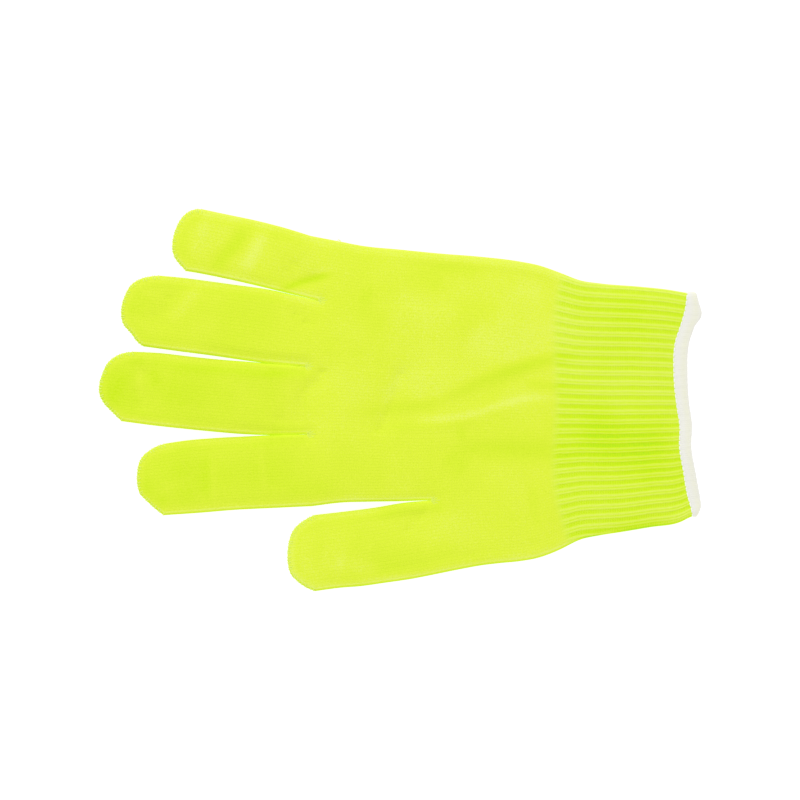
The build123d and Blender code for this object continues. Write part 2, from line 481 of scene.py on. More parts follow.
# Soft dents (below 0) and swells (above 0) of the top layer: line, half width, height.
# The heights are taken times the first of the two gains below, and the painted shade and highlights in the
# table after the wrinkles times the second.
WRINKLE_GAIN, PAINTED_SHADING_GAIN = 0.55, 1.25
WRINKLES = [
    ([(-9, 20), (-7, 2), (-4, -14), (3, -32), (9, -48), (12, -66)], 3.8, -0.75),
    ([(-14, 16), (-12, -2), (-10, -20), (-4, -38), (-2, -66)], 3.6, 0.45),
    ([(-20, -16), (-20.5, -42), (-22, -68)], 4.5, -0.6),
    ([(44.5, 51), (49.5, 40), (52.5, 29)], 2, -0.75),
    ([(42, 46), (46, 36), (48, 28)], 2.2, 0.3),
    ([(70, 55), (61, 60), (52.5, 65)], 2.8, 0.4),
    ([(70.5, 66), (61, 72), (53, 77.5)], 3.2, -0.5),
    ([(74, 80), (66, 83), (59, 86.5)], 2.4, 0.3),
    ([(47.5, 82), (40, 88), (32, 96)], 3.2, 0.35),
    ([(30, 66), (38, 60), (45, 56)], 3.5, -0.25),
    ([(17, 104), (9, 106.5), (-1, 108)], 1.8, 0.3),
    ([(13, 80), (4, 83), (-6, 84)], 2.6, -0.25),
    ([(12, 66), (3, 62), (-9, 60)], 5, 0.3),
    ([(-16, 58), (-27, 57), (-38, 55.7)], 1.6, 0.4),
    ([(-16, 54.2), (-27, 53.2), (-38, 51.9)], 2, -0.25),
    ([(-15, 46), (-27, 44.5), (-37, 43)], 4, -0.35),
    ([(-23, 77.4), (-33, 77.2), (-42, 77)], 1.6, 0.35),
    ([(-22, 81), (-32, 80.5), (-41, 80)], 1.9, -0.3),
    ([(-70, 10), (-60, 14), (-48, 20)], 4, -0.3),
    ([(-34, 32), (-26, 22), (-16, 16)], 6, -0.35),
    ([(-34, -52.6), (-44, -53.6), (-53, -55.2)], 1.6, -0.25),
    ([(36, 0), (33, -28), (30, -56)], 9, 0.4),
]
# Painted shade (above 0, deeper) and painted highlights (below 0, paler) on the top layer, over its creases,
# swells and broader stretches that lie in less or more light: line, half width, amount
PAINTED_SHADING_LINES = [
    ([(-5, 21), (-3, 5), (-2, -12), (4, -26), (10, -38), (15, -50), (18, -64)], 2.6, 0.2),
    ([(1, -20), (9, -37), (18, -64)], 3.2, 0.16),
    ([(-8, -7), (-7.4, -20), (-5, -32), (-1.6, -41), (0.6, -50), (1.6, -63)], 1.8, -0.26),
    ([(-10.8, 8), (-10.5, -16), (-9.5, -30)], 1.8, 0.1),
    ([(12, -46), (17, -64), (19, -74)], 2.4, 0.16),
    ([(7.5, -50), (5, -67)], 2, 0.24),
    ([(-9, 9.5), (2, 5), (12, 0)], 2.2, -0.15),
    ([(-3, -12), (5, -30), (12, -45)], 2.4, -0.1),
    ([(26, -24), (16, -52)], 6, -0.12),
    ([(-19.5, -20), (-20, -42), (-21.5, -66)], 4.5, 0.25),
    ([(3, -34), (13, -50)], 5, 0.12),
    ([(-13, -22), (-14, -27)], 3, 0.2),
    ([(-22, -18), (-29, -27)], 5, 0.22),
    ([(45, 50), (49, 40), (51.5, 29)], 1.5, 0.6),
    ([(51.8, 38), (54, 29)], 1.2, -0.15),
    ([(70, 56), (61, 60), (52.5, 64)], 2.8, -0.22),
    ([(71, 63), (63, 69), (53, 77.5)], 3.4, 0.42),
    ([(74, 80), (66, 83), (59, 86.5)], 2.4, -0.12),
    ([(62, 48), (56, 40)], 7, 0.08),
    ([(47.5, 82), (40, 88), (32, 96)], 3.4, -0.22),
    ([(44, 104), (34, 110)], 6, 0.25),
    ([(22, 102), (26, 112), (32, 115)], 4, 0.15),
    ([(14, 100), (11.5, 70), (9.5, 40)], 2.4, 0.18),
    ([(13, 108), (8, 118), (0, 121), (-7, 118)], 5, 0.3),
    ([(5, 120), (-2, 106)], 6, 0.28),
    ([(17, 105), (15, 112)], 3, 0.22),
    ([(14, 107), (8, 107.5), (0, 106.5)], 1.6, -0.15),
    ([(13, 102), (6, 100)], 2.5, 0.2),
    ([(-6, 114), (-8, 96), (-10, 76)], 3, 0.1),
    ([(6, 98), (0, 78)], 10, 0.12),
    ([(6, 68), (-2, 56)], 6, -0.12),
    ([(-15, 46), (-27, 44.5), (-37, 43)], 5.5, 0.05),
    ([(-17, 57.9), (-27, 56.9), (-38, 55.6)], 1.6, -0.14),
    ([(-22, 80.5), (-32, 80), (-41, 79)], 2, 0.14),
    ([(-44, 96), (-39, 103), (-32, 107)], 5, 0.25),
    ([(-42, 100), (-39, 84)], 4.5, 0.18),
    ([(-63, 34), (-66, 22)], 8, -0.22),
    ([(-69, 12), (-67.5, -14)], 3, 0.16),
    ([(-24, 77.2), (-33, 77), (-42, 76.8)], 1.6, -0.14),
    ([(-22, 98), (-34, 92)], 9, 0.22),
    ([(-28, 30), (-28, 4)], 13, 0.15),
    ([(-66, 16), (-64, -5), (-62, -26)], 5, 0.2),
    ([(-46, 10), (-44, -9)], 3, 0.22),
    ([(55, -10), (53, -34)], 2.6, 0.18),
    ([(-34, -53), (-44, -54.5), (-53, -56)], 1.8, 0.12),
    ([(44, 17), (42, 12)], 4, 0.25),
    ([(50, 0), (48, -18)], 6, 0.14),
    ([(38, -22), (36, -42)], 6, 0.15),
    ([(46, -46), (44, -58)], 5, -0.18),
    ([(-66, 28), (-70, 8)], 4, -0.16),
    ([(30, 88), (32, 74)], 6, -0.12),
    ([(38, 18), (30, 6)], 6, 0.14),
    ([(38, -34), (18, -62)], 13, -0.12),
    ([(47, 11), (42, 0)], 5, 0.15),
    ([(22, 34), (15, 14)], 8, 0.1),
    ([(12, 8), (7, -12)], 8, -0.1),
    ([(34, -20), (26, -30)], 7, 0.12),
    ([(-7, -72), (-17, -88), (-23, -112)], 12, 0.36),
    ([(38, -70), (36, -100)], 6, 0.1),
    ([(15, -88), (14, -108)], 6, 0.1),
    ([(-58, -68), (-55, -76), (-52.6, -90), (-48.6, -114)], 1.8, 0.36),
    ([(62, 52), (70, 86)], 12, -0.12),
    ([(30, 48), (39, 104)], 13, 0.28),
    ([(1, 46), (6, 112)], 13, 0.26),
    ([(-29, 42), (-32, 96)], 13, 0.4),
    ([(-57, -2), (-62, 40)], 13, 0.14),
    ([(12.5, 56), (11.8, 37)], 2.2, 0.28),
    ([(-12.6, 56), (-12.2, 37)], 1.8, 0.25),
    ([(-15.6, 56), (-15.6, 37)], 1.8, 0.25),
    ([(-37, 48), (-36, 26)], 4, 0.16),
    ([(-43.5, -7), (-43.5, -17)], 2, 0.25),
    ([(41, 34.4), (13.9, 39.8), (-13.9, 39)], 0.7, 0.06),
    ([(-41, -12.4), (-20, -12.4), (6, -12.4)], 0.6, 0.06),
]


def swell(points, seed, size):
    """Slow smooth unevenness, about -1 to 1, from a few crossed waves."""
    rng = np.random.default_rng(seed)
    total = np.zeros(len(points))
    for _ in range(7):
        angle, phase = rng.uniform(0, math.pi), rng.uniform(0, 2 * math.pi)
        wave = 2 * math.pi / (size * rng.uniform(0.7, 1.6))
        total += np.sin(points @ np.array([math.cos(angle), math.sin(angle)]) * wave + phase)
    return total / 4.0


# The top layer swells like a membrane held at the folds: worked out on a 1 mm raster,
# 0 outside and toward 1 inside
RASTER = np.array([170, 270])
ROUNDS = 700  # until it has settled
cell = np.round(xy + RASTER / 2).astype(int)
inside_glove = np.zeros(RASTER, bool)
inside_glove[cell[:, 0], cell[:, 1]] = True
raster_y = np.arange(RASTER[1]) - RASTER[1] / 2
on_palm = 1 - smoothstep(raster_y, -15.0, 40.0)
on_cuff = 1 - smoothstep(raster_y, -85.0, -60.0)
# How far in from the folds it rises: wider on the palm than on the stalls and the cuff
rise_width = 7.0 + 6.0 * on_palm - 5.0 * on_cuff
pull = 1 / rise_width[None, :] ** 2
membrane = np.zeros(RASTER)
for _ in range(ROUNDS):
    around = sum(np.roll(membrane, shift, axis) for shift in (1, -1) for axis in (0, 1))
    membrane = np.where(inside_glove, (around + pull) / (4 + pull), 0.0)


def membrane_at(points):
    """The membrane's height at points between the raster's cells."""
    p = np.clip(points + RASTER / 2, 1, RASTER - 2.001)
    i = p.astype(int)
    f = p - i
    return sum(
        membrane[i[:, 0] + a, i[:, 1] + b] * np.abs(1 - a - f[:, 0]) * np.abs(1 - b - f[:, 1])
        for a in (0, 1) for b in (0, 1))


RIBS = 26
RIB_DEPTH = 0.35
# As parts of their spacing: the first one's place, where a crest rises and falls, its narrow line
RIB_OFFSET = 0.17
CREST_RISE, CREST_FALL = (-0.03, 0.18), (0.56, 0.68)
LINE_PLACE, LINE_WIDTH = 0.37, 0.075
RIB_START = [(-60, -68), (-51, -65.5), (-42, -63), (0, -62.6), (42, -62.8), (48, -64), (55, -67.5)]


def rib_shape(points, u):
    """Height of the cuff's ribs, 0 on the crests, and the places that lie in grooves, which the material
    gives painted shade.

    A rib is two columns of stitches standing up with a narrow line between them.
    """
    across = u / HAND_WIDTH
    y = points[:, 1]
    # They crowd together a little toward the hand, where a few more of them show than at the mouth
    drift = np.clip((y + 95.0) / 30.0, 0, 1) ** 1.7 * (0.25 - smoothstep(across, 0.12, 0.75))
    drift = drift + 0.10 * bell(across, 0.52, 0.3) * (1 - smoothstep(y, -102.0, -92.0))
    drift = drift + 0.24 * bell(across, 0.58, 0.24)
    phase = (across * RIBS + RIB_OFFSET - drift) % 1.0
    crest = smoothstep(phase, *CREST_RISE) * (1 - smoothstep(phase, *CREST_FALL))
    line = bell(phase, LINE_PLACE, LINE_WIDTH)
    begin = hermite(RIB_START, points[:, 0])
    fade = 1 - smoothstep(y, begin - 3.5, begin + 1.2)
    gathered = 0.35 + 0.65 * smoothstep(to_mouth(points), -1.0, 3.0)
    height = (crest - 0.45 * line - 1) * fade * gathered
    # The second of the two columns, on the side away from the key light, gets a little of the grooves'
    # painted shade
    groove = (1 - crest + 0.95 * line + 0.12 * smoothstep(phase, 0.4, 0.48) * crest) * fade
    return height, groove


def to_mouth(points):
    """Distance of each (x, y) from the knitting's end at the mouth."""
    return points[:, 1] - hermite(MOUTH_TOP, points[:, 0])


# Where two stalls part: x, y and how far along from there they press together
CROTCHES = {
    "pinky_ring": (41, 34.4, 10),
    "ring_middle": (13.9, 39.8, 19),
    "middle_index": (-13.9, 39, 19),
    "thumb_index": (-41, -11.9, 7),
}
PRESSED = 1.7  # how far the fold rises where they do
SHOULDER = 2.2  # of the top layer beside the fold, above MIDDLE
# The crown's rise above that on a stall, what the palm adds, and what the cuff and its mouth take off
CROWN, CROWN_PALM, CROWN_CUFF = 2.3, 1.5, 0.7


def heights(points, u):
    """Top and under surface above the table, rib grooves, height of the fold and distance to it."""
    x, y = points.T
    d = fold_distance(points)
    palm = smoothstep(y, 60.0, 0.0)
    cuff = 1 - smoothstep(y, -80.0, -55.0)
    mouth = 1 - smoothstep(y, -119.0, -95.0)
    # Where neighbours press together, the valley between them is shallow
    pressed = sum(
        bell(x, at_x, 6.0) * smoothstep(y, at_y - 8.0, at_y)
        * (1 - smoothstep(y, at_y + 0.4 * long, at_y + 1.3 * long))
        for at_x, at_y, long in CROTCHES.values())
    middle = MIDDLE + PRESSED * np.minimum(pressed, 1)
    fold = np.cbrt(1 - (1 - np.minimum(d, FOLD) / FOLD) ** 3)
    near = 1 - np.exp(-d / 8.0)
    crown = near + (membrane_at(points) - near) * smoothstep(d, 1.5, 6.0)
    rise = CROWN + CROWN_PALM * palm - CROWN_CUFF * cuff - CROWN_CUFF * mouth
    top = middle + (MIDDLE + SHOULDER - middle) * fold + rise * crown
    # The hem lifts the under layer a little at the mouth
    bottom = middle * (1 - fold) + 0.6 * (1 - smoothstep(to_mouth(points), 0.0, 6.0)) * fold
    dents = WRINKLE_GAIN * sum(h * along_line(points, line, w) for line, w, h in WRINKLES)
    dents = dents + 0.12 * swell(points, 5, 26.0) + 0.03 * swell(points, 9, 11.0)
    top = top + dents * smoothstep(d, 1.2, 6.0)
    depth, groove = rib_shape(points, u)
    soft = smoothstep(d, 0.0, 1.5)
    top = top + RIB_DEPTH * depth * (0.45 + 0.55 * soft)
    bottom = bottom - RIB_DEPTH * depth * soft * 0.8
    return top, bottom, groove, middle, d


top_z, bottom_z, groove, middle_z, distance = heights(xy, uv[:, 0])
z = np.where(side > 0, top_z, np.where(side < 0, bottom_z, middle_z))
outer = np.column_stack([xy, z])


def point_normals(points, quads):
    """Area-weighted normals at the points of a mesh of quads."""
    corners = np.array(quads).T
    a, b, c, d = points[corners]
    total = np.zeros_like(points)
    for corner in corners:
        np.add.at(total, corner, np.cross(c - a, d - b))
    return total / np.maximum(np.linalg.norm(total, axis=1), 1e-9)[:, None]


normal = point_normals(outer, net.quads)
inner_points = outer - normal * FABRIC


# ---------------------------------------------------------------- materials
def put(tree, socket, value):
    """Sets a socket to a number, a colour or the result of another node."""
    if isinstance(value, Term):
        value = value.socket
    if isinstance(value, bpy.types.NodeSocket):
        tree.links.new(value, socket)
    else:
        socket.default_value = value


class Term:
    """The result of a node, used in a material's formulas like a number."""

    def __init__(self, tree, socket):
        self.tree, self.socket = tree, socket

    def calc(self, operation, *others):
        node = self.tree.nodes.new("ShaderNodeMath")
        node.operation = operation
        for socket, value in zip(node.inputs, (self, *others)):
            put(self.tree, socket, value)
        return Term(self.tree, node.outputs[0])

    def __add__(self, other):
        return self.calc("ADD", other)

    def __sub__(self, other):
        return self.calc("SUBTRACT", other)

    def __rsub__(self, other):
        return self.calc("MULTIPLY_ADD", -1.0, other)

    def __mul__(self, other):
        return self.calc("MULTIPLY", other)

    def clamp(self):
        """Kept between 0 and 1."""
        return self.calc("MINIMUM", 1.0).calc("MAXIMUM", 0.0)

    def wave(self):
        """Between 0 and 1, with one crest for each 1 of the value."""
        return (self * (2 * math.pi)).calc("SINE") * 0.5 + 0.5


def new_material(name):
    material = bpy.data.materials.new(name)
    material.use_nodes = True
    tree = material.node_tree
    tree.nodes.clear()
    out = tree.nodes.new("ShaderNodeOutputMaterial")
    shader = tree.nodes.new("ShaderNodeBsdfPrincipled")
    tree.links.new(shader.outputs[0], out.inputs[0])
    return material, tree, shader


def set_inputs(tree, node, values):
    for name, value in values.items():
        put(tree, node.inputs[name], value)


def mix_colour(tree, factor, a, b):
    node = tree.nodes.new("ShaderNodeMix")
    node.data_type = "RGBA"
    for i, value in ((0, factor), (6, a), (7, b)):
        put(tree, node.inputs[i], value)
    return node.outputs[2]


def attribute(tree, name):
    node = tree.nodes.new("ShaderNodeAttribute")
    node.attribute_name = name
    return Term(tree, node.outputs["Fac"])


def place_on_object(tree):
    return tree.nodes.new("ShaderNodeTexCoord").outputs["Object"]


def noise_value(tree, place, scale, detail):
    node = tree.nodes.new("ShaderNodeTexNoise")
    set_inputs(tree, node, {"Vector": place, "Scale": scale, "Detail": detail})
    return Term(tree, node.outputs["Fac"])


def bump(tree, height, distance):
    node = tree.nodes.new("ShaderNodeBump")
    set_inputs(tree, node, {"Strength": 0.5, "Distance": distance, "Height": height})
    return node.outputs[0]


def srgb(r, g, b):
    """Linear colour from 0-255 display values."""
    def one(c):
        c = c / 255
        return c / 12.92 if c <= 0.04045 else ((c + 0.055) / 1.055) ** 2.4
    return one(r), one(g), one(b)


LIGHT_GAIN = 1.12  # how much brighter than its own colour a flat surface shows under the lights
GLOW = (0.12, 0.19, 0.0, 1.0)  # painted glow: emission standing in for the fluorescent dye's glow, which also lifts the shade
HEM_GLOW = (0.12, 0.12, 0.12, 1.0)  # and painted glow of the white thread, standing in for its brightener and lifting its shade
NO_GLOW = (0.0, 0.0, 0.0, 1.0)


def shown(r, g, b, glow=NO_GLOW):
    """Colour of a surface that shows as the given 0-255 display values when lit."""
    return tuple(max(c - own, 0.0) / LIGHT_GAIN for c, own in zip(srgb(r, g, b), glow)) + (1.0,)


# Pale, middle and deep colours of the plain knitting and of the ribs, and the deepest of both. Pale serves as
# painted highlight, deep and deepest as painted shade, and random variation of the yarn moves between them
# too
PLAIN = shown(238, 251, 118, GLOW), shown(228, 246, 60, GLOW), shown(204, 239, 0, GLOW)
RIBBED = shown(238, 252, 134, GLOW), shown(229, 248, 94, GLOW), shown(211, 243, 4, GLOW)
SHADED = shown(150, 232, 30, GLOW)


def stitch_pattern(tree, place, rib):
    """Relief of the single stitches, 0 in the gaps and 1 on the yarn; rib: 1 in the ribs' grooves."""
    uv_map = tree.nodes.new("ShaderNodeUVMap")
    uv_map.uv_map = "Knit"
    split = tree.nodes.new("ShaderNodeSeparateXYZ")
    tree.links.new(uv_map.outputs[0], split.inputs[0])
    column, course = Term(tree, split.outputs[0]), Term(tree, split.outputs[1])
    wobble = noise_value(tree, place, 260.0, 2.0) * 0.18
    across = (column + wobble).calc("FRACT") - 0.5
    lean = across.calc("ABSOLUTE")
    # Two legs of each stitch, and the loops one above another along them
    legs = (across * (2 * math.pi)).calc("SINE").calc("ABSOLUTE")
    loops = (course + lean * 1.3).wave()
    gutter = ((0.5 - lean) * 4.0).calc("SMOOTH_MIN", 1.0, 0.3)
    stitch = gutter * (legs * loops * 0.6 + 0.4)
    # Down-facing columns in the ribs show rows of small bumps instead
    purl = (course + across * 0.4).wave() * 0.8
    return stitch * (1.0 - rib) + purl * rib


def knit_material(name, plain, ribs=None):
    """Knitted fabric in pale, middle and deep colours of the plain knitting, and of the ribs; the pale and
    deep colours carry painted highlight and painted shade as well as random variation of the yarn's colour.
    """
    material, tree, shader = new_material(name)
    pale, mid, deep = plain
    if ribs:
        ribbed = attribute(tree, "ribbed")
        pale, mid, deep = (mix_colour(tree, ribbed, a, b) for a, b in zip(plain, ribs))
    place = place_on_object(tree)
    rib = attribute(tree, "rib")
    pattern = stitch_pattern(tree, place, rib)
    fine = noise_value(tree, place, 1900.0, 3.0)
    slow = noise_value(tree, place, 38.0, 2.0)
    # Below 0 paler, above 0 deeper and above 1 deeper still. The sum holds painted shade and painted
    # highlights read from the mesh, painted shade in the ribs' grooves and in the gaps between stitches with
    # painted highlight on their yarn, and random variation from the noise
    shade = attribute(tree, "painted_shading") + rib * 0.77
    shade = shade + (0.55 - pattern) * (rib * 0.3 + 0.2)
    shade = shade + (0.5 - slow) * 0.6 + (0.5 - fine) * 1.1
    colour = mix_colour(tree, shade.clamp(), mid, deep)
    colour = mix_colour(tree, (shade - 1.0).clamp(), colour, SHADED)
    colour = mix_colour(tree, (shade * -1.6).clamp(), colour, pale)
    set_inputs(tree, shader, {
        "Base Color": colour, "Roughness": 0.86, "Specular IOR Level": 0.25,
        "Sheen Weight": 0.08, "Sheen Roughness": 0.55, "Sheen Tint": plain[0],
        # Emission: painted glow all over, raised in the slits between touching stalls
        "Emission Color": GLOW, "Emission Strength": attribute(tree, "painted_slit_glow") * 0.6 + 1.0,
        "Normal": bump(tree, pattern + fine * 0.5, 0.0002),
    })
    return material


def thread_material(name, pale, deep, scale, glow=NO_GLOW, yarn_tint=None):
    """Spun thread with fibres of the given fineness; yarn_tint shows between the hem's threads."""
    material, tree, shader = new_material(name)
    place = place_on_object(tree)
    fibre = noise_value(tree, place, scale, 4.0)
    slow = noise_value(tree, place, scale / 18.0, 2.0)
    colour = mix_colour(tree, fibre * 0.7 + slow * 0.3, deep, pale)
    if yarn_tint:
        # Yarn of the ribs glints between the threads in the hem's inner half
        inset = attribute(tree, "inset")
        band = inset * (1.0 - inset) * 4.0
        inner_half = ((0.62 - inset) * 2.2 + 0.1).clamp()
        amount = band * inner_half * (attribute(tree, "stitch") * 0.5 + 0.25) * (slow * 1.2 + 0.1)
        colour = mix_colour(tree, amount, colour, yarn_tint)
    # A glow colour given here is painted glow, sent out as emission
    set_inputs(tree, shader, {
        "Base Color": colour, "Roughness": 0.8, "Specular IOR Level": 0.3, "Sheen Weight": 0.2,
        "Emission Color": glow, "Emission Strength": 1.0, "Normal": bump(tree, fibre, 0.0001),
    })
    return material


knit = knit_material("neon_knit", PLAIN)
rib_knit = knit_material("neon_rib", PLAIN, RIBBED)
# The hem thread and the closing thread carry painted glow as well
hem_thread = thread_material(
    "hem_thread", shown(245, 245, 238, HEM_GLOW), shown(233, 232, 222, HEM_GLOW), 3200.0,
    glow=HEM_GLOW, yarn_tint=shown(240, 240, 190, HEM_GLOW))
needle_thread = thread_material("needle_thread", shown(255, 255, 253), shown(250, 250, 244), 3200.0)
closing_thread = thread_material(
    "closing_thread", shown(239, 250, 128, GLOW), shown(219, 244, 62, GLOW), 3000.0, glow=GLOW)
elastic_thread = thread_material("elastic_thread", shown(238, 235, 224), shown(212, 208, 195), 1500.0)

# ---------------------------------------------------------------- tones of the fabric
# Painted shade along each fingertip's folded edge, by finger
TIP_EDGE_SHADE = {"pinky": 0.22, "ring": 0.3, "middle": 0.5, "index": 0.25, "thumb": 0.1}
# Lines where two stalls touch: near the folds along them the knit's emission is raised, painted glow that
# lightens the shade in the narrow slits between them
SLITS = [
    [(40.6, 33), (44.5, 50), (48, 66)], [(13.9, 38), (15, 58), (15.8, 74)],
    [(-13.9, 37), (-14.2, 50), (-13.6, 64)], [(-41, -17), (-41.2, -8), (-41.3, 3)],
]


def edge_shading(*bands):
    """Bands of painted shade (above 0) or painted highlight (below 0) along the folded edges, each as amount,
    distance from the fold and half width.
    """
    return sum(amount * bell(distance, at, width) for amount, at, width in bands)


def painted_knit_shading():
    """Painted shade (above 0, deeper) and painted highlights (below 0, paler) at every point of the fabric.
    """
    painted_shading = PAINTED_SHADING_GAIN * sum(amount * along_line(xy, line, w) for line, w, amount in PAINTED_SHADING_LINES) * (side > 0)
    for name in names:
        tip = np.array(STALLS[name]["tip"])
        painted_shading += TIP_EDGE_SHADE[name] * along_line(xy, on_stall(name, tip[:, 1], tip[:, 0]), 1.6)
    # Painted light on the folded edges. Edges that don't face away from the key light get a paler rim as
    # painted highlight, and on the fingers and the thumb a band of painted shade further in. Edges that face
    # away from it get a pale line just inside as painted highlight and a dark line at the edge as painted
    # shade, stronger toward the thumb side
    far = smoothstep(-normal[:, 0], 0.0, 0.25)
    on_finger = smoothstep(xy[:, 1], 30.0, 55.0)
    on_thumb = smoothstep(xy[:, 1], -12.0, 8.0) * smoothstep(-xy[:, 0], 38.0, 46.0)
    deeper = 0.45 + 0.5 * smoothstep(-xy[:, 0], 40.0, 52.0)
    painted_shading += (1 - far) * edge_shading((-0.18, 0.0, 0.9), (-0.18, 1.8, 1.4))
    painted_shading += (1 - far) * edge_shading((0.12, 3.6, 1.7)) * np.maximum(on_finger, on_thumb)
    painted_shading += far * edge_shading((-0.16, 1.6, 1.5), (-0.48, 1.15, 0.4))
    painted_shading += deeper * edge_shading((1.0, 0.4, 0.7)) * np.clip(-normal[:, 0], 0, 1) ** 1.5
    return painted_shading


rib_start = hermite(RIB_START, xy[:, 0])
FABRIC_VALUES = {
    # Painted shade and highlights, which the knit material reads
    "painted_shading": painted_knit_shading(),
    "rib": groove,
    "ribbed": 1 - smoothstep(xy[:, 1], rib_start - 3.0, rib_start + 1.5),
    # Where the emission is raised as painted glow in the slits
    "painted_slit_glow": sum(along_line(xy, line, 3.0) for line in SLITS) * bell(distance, 0, 0.8),
}


# ---------------------------------------------------------------- pieces of fabric
def mesh_object(name, points, faces, material):
    mesh = bpy.data.meshes.new(name)
    corners = [tuple(int(i) for i in face) for face in faces]
    mesh.from_pydata([tuple(p) for p in np.asarray(points) * MM], [], corners)
    if mesh.validate():
        print("repaired", name)
    mesh.materials.append(material)
    mesh.shade_smooth()
    return add_object(name, mesh)


def set_attribute(mesh, name, values):
    """Gives every point of a mesh a number that its material reads."""
    layer = mesh.attributes.new(name, "FLOAT", "POINT")
    layer.data.foreach_set("value", values.astype(np.float32))


def fabric_piece(name, label, material):
    """Closed shell of one part of the glove: outside, inside and the rims between them."""
    faces = [f for f, own in zip(net.quads, net.label) if own == label]
    used = sorted({i for f in faces for i in f})
    place = {v: i for i, v in enumerate(used)}
    n = len(used)
    outside = [tuple(place[i] for i in f) for f in faces]
    inside = [tuple(i + n for i in f[::-1]) for f in outside]
    edges = dict.fromkeys(edge for f in outside for edge in zip(f, f[1:] + f[:1]))
    rims = [(b, a, a + n, b + n) for a, b in edges if (b, a) not in edges]
    points = np.concatenate([outer[used], inner_points[used]])
    obj = mesh_object(name, points, outside + inside + rims, material)
    mesh = obj.data
    source = np.concatenate([used, used])
    index = np.zeros(len(mesh.loops), int)
    mesh.loops.foreach_get("vertex_index", index)
    stitches = uv[source] / np.array([WALE, COURSE])
    mesh.uv_layers.new(name="Knit").data.foreach_set("uv", stitches[index].ravel())
    for key, values in FABRIC_VALUES.items():
        set_attribute(mesh, key, values[source])
    # Shading runs on across the line where two pieces meet
    shading = np.concatenate([normal[used], -normal[used]])[index]
    walls = len(outside) + len(inside)
    for polygon in mesh.polygons[walls:]:
        shading[polygon.loop_start: polygon.loop_start + polygon.loop_total] = polygon.normal
    mesh.normals_split_custom_set([tuple(n) for n in shading])
    return obj


palm = fabric_piece("palm_knit", "palm", knit)
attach(palm, "palm")
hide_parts("palm_four_finger_section", "palm_thumb_section")

cuff = fabric_piece("cuff_rib", "cuff", rib_knit)
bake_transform(cuff)
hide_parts("cuff_rib_knit")

for name in names:
    bends = [ROOT_BEND, *STALLS[name]["bends"]]
    for segment, bend in zip(SEGMENTS[len(bends)], bends):
        body = f"{name}_{segment}"
        piece = fabric_piece(f"{body}_knit", body, knit)
        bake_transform(piece)
        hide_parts(body)


# ---------------------------------------------------------------- threads
def tube(path, radius, sides=6, closed=False):
    """Points and faces of a round thread along a path; an open one gets rounded ends."""
    path = np.asarray(path, float)
    radii = np.full(len(path), radius)
    if closed:
        tangent = unit(np.roll(path, -1, axis=0) - np.roll(path, 1, axis=0))
    else:
        # Two more rings close to each end, drawn in to make it round
        before, after = unit(path[0] - path[1]) * radius, unit(path[-1] - path[-2]) * radius
        path = np.vstack([
            path[0] + before * 0.9, path[0] + before * 0.5, path,
            path[-1] + after * 0.5, path[-1] + after * 0.9])
        radii = np.concatenate([[radius * 0.35, radius * 0.85], radii, [radius * 0.85, radius * 0.35]])
        tangent = unit(np.gradient(path, axis=0))
    n = len(path)
    across = np.cross(tangent, (0.0, 0.0, 1.0))
    upright = np.linalg.norm(across, axis=1) < 0.25
    across[upright] = np.cross(tangent[upright], (1.0, 0.0, 0.0))
    for i in range(1, 1 if closed else n):
        # Keeps the ring from twisting from one place to the next
        carried = across[i - 1] - tangent[i] * (across[i - 1] @ tangent[i])
        if np.linalg.norm(carried) > 1e-6:
            across[i] = carried
    across = unit(across)
    up = np.cross(across, tangent)
    angle = (np.arange(sides) * 2 * math.pi / sides)[:, None]
    ring = np.cos(angle) * across[:, None] + np.sin(angle) * up[:, None]
    points = (path[:, None] + radii[:, None, None] * ring).reshape(-1, 3)
    faces = []
    for i in range(n if closed else n - 1):
        j = (i + 1) % n
        for k in range(sides):
            m = (k + 1) % sides
            faces.append((i * sides + k, i * sides + m, j * sides + m, j * sides + k))
    if not closed:
        faces.append(tuple(range(sides))[::-1])
        faces.append(tuple((n - 1) * sides + k for k in range(sides)))
    return points, faces


TABLE_GAP = 0.02


def above_table(points):
    """Keeps points from reaching through the table."""
    points[:, 2] = np.maximum(points[:, 2], TABLE_GAP)
    return points


def threads(name, paths, radius, material, sides=6, closed=False):
    """One object made of many short lengths of thread."""
    points, faces, total = [], [], 0
    for path in paths:
        ring_points, ring_faces = tube(path, radius, sides, closed)
        points.append(ring_points)
        faces += [tuple(i + total for i in face) for face in ring_faces]
        total += len(ring_points)
    return mesh_object(name, above_table(np.concatenate(points)), faces, material)


# ---------------------------------------------------------------- the hem at the cuff's mouth
# Outer edge of the hem as (x, y), on the top layer and on the under layer
HEM_TOP = [
    (-48.6, -120.6), (-47.3, -121.2), (-45.9, -122.1), (-43.3, -123), (-40, -122.5),
    (-30.6, -120.9), (-19.7, -119), (-9.4, -119.2), (-2.2, -118.2), (4.3, -117.6), (12.3, -117.4),
    (20.3, -117.6), (24.1, -118.2), (27.9, -119.5), (31, -120.7), (33, -122.3), (35.7, -123),
    (39.4, -122.2), (44.5, -121),
]
HEM_UNDER = [
    (-48.6, -120.6), (-47.3, -121.2), (-45.9, -121.9), (-43.3, -122.6), (-30.6, -120.4),
    (-19.7, -118.5), (-3.3, -117.6), (6.2, -117.1), (18.5, -117.1), (26, -118.6), (31.6, -121.3),
    (33.5, -122.9), (35.7, -123.4), (39.6, -122.4), (44.5, -121),
]
HEM_HALF = 1.05  # half its thickness
STITCH = 0.85  # distance between its threads
PER_STITCH = 8  # points along each of them
ROUND = 26  # points round the hem's section
FLATTENED = 0.62  # its section is a circle with flattened sides


